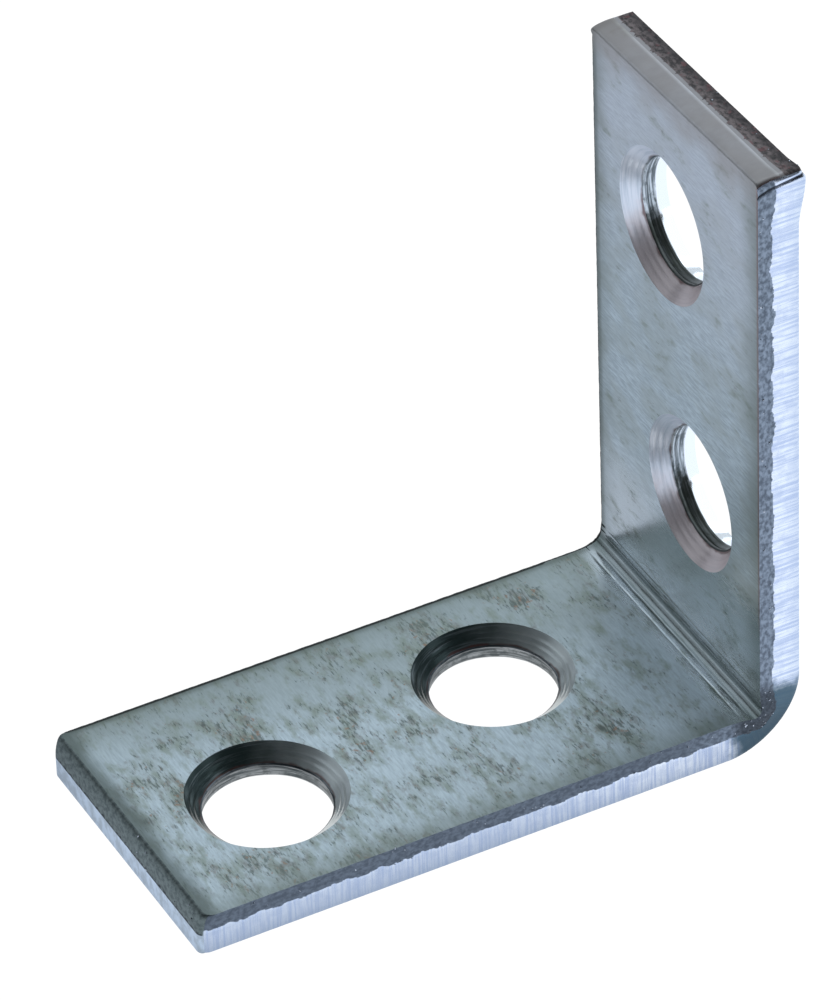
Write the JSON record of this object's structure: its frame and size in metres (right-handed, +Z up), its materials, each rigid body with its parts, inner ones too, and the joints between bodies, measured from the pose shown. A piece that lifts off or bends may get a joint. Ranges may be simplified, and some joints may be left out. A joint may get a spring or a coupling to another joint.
{
  "type": "angle bracket",
  "caption": "Narrow steel strip bent once to a right angle, with staggered countersunk screw holes through each leg, for holding an inside corner.",
  "frame": {"origin": "centre of the footprint, on the ground under the base leg", "axes": "+Z up along the wall leg, +X the way the wall leg's outer face looks, from the base leg's free end to the heel, Y across the strip"},
  "size_m": [0.026, 0.0132, 0.0268],
  "materials": {
    "zinc_steel": "bright zinc plate with a cool tint over rolled strip, dull and scratched on the faces, burnished and torn on the sheared edges"
  },
  "bodies": {
    "root": {"bracket": "zinc_steel"}
  },
  "joints": []
}
